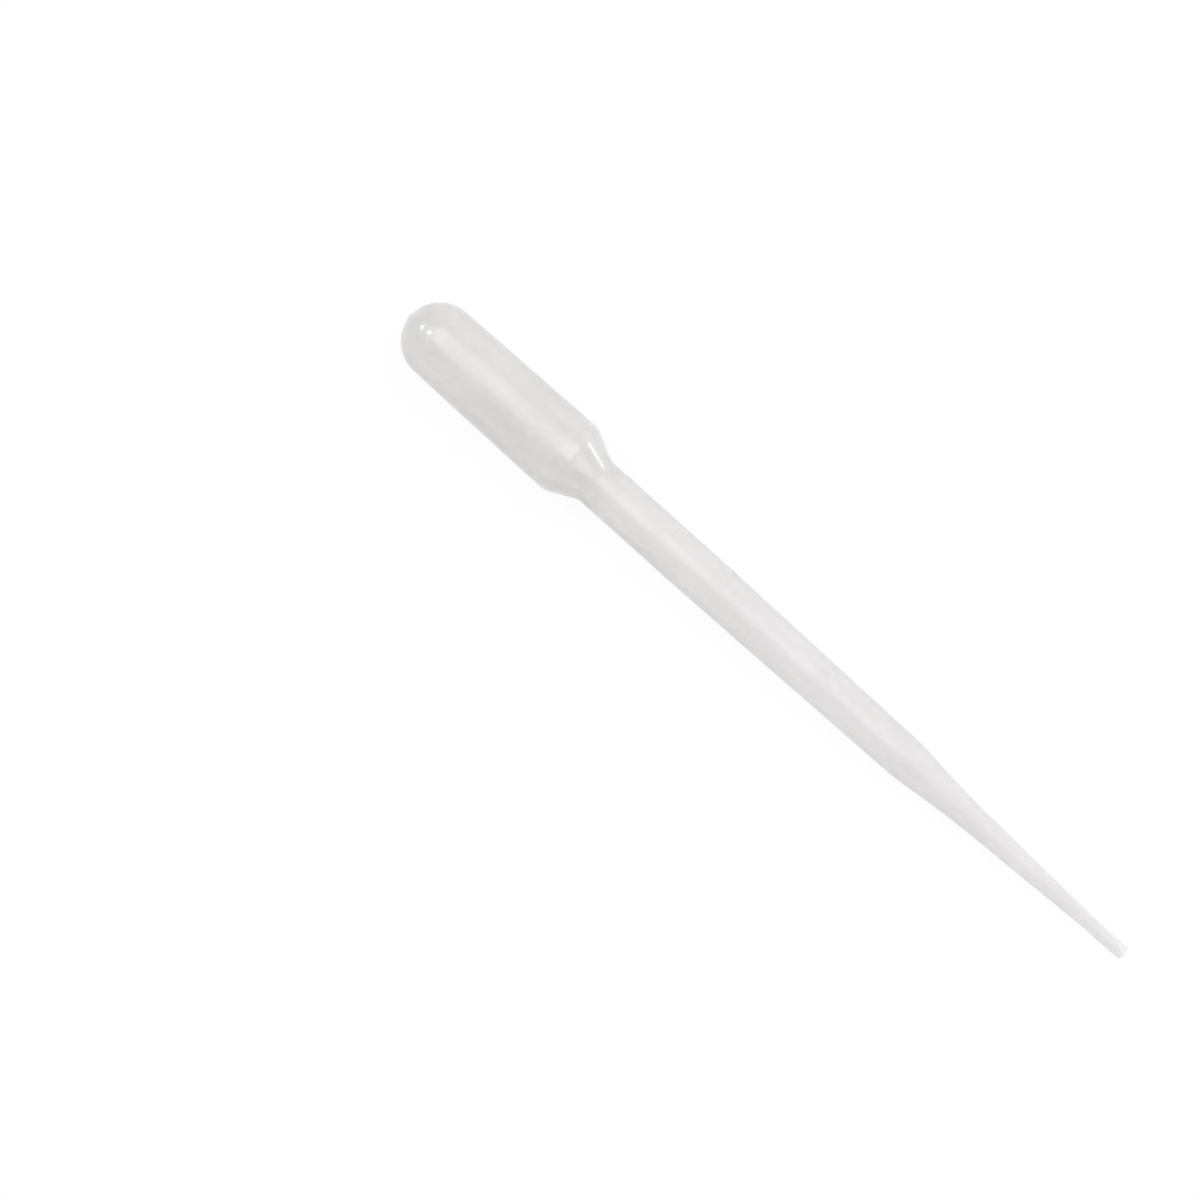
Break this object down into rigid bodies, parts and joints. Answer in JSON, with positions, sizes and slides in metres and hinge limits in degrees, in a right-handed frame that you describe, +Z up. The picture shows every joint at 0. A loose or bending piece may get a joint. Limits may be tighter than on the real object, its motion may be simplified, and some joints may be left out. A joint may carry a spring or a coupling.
{
  "type": "dropper pipette",
  "caption": "Soft plastic dropper pipette blown in one piece: fine drawn tip, tapered stem with raised volume marks, conical shoulder and round-domed squeeze bulb, lying on its side.",
  "frame": {"origin": "on the table under the middle of the pipette's box, as it lies at rest", "axes": "+X along the table from the tip to the bulb, +Z up; the pipette's own axis leans up about 2.5 degrees from the tip to the bulb, because it rests on the rim of the bulb and on the low end of the stem, where its soft wall has two flats 0.14 mm deep"},
  "size_m": [0.1602, 0.0136, 0.0145],
  "materials": {
    "polyethylene": "milky translucent low-density polyethylene, satin from the mould"
  },
  "bodies": {
    "root": {"pipette": "polyethylene"}
  },
  "joints": []
}
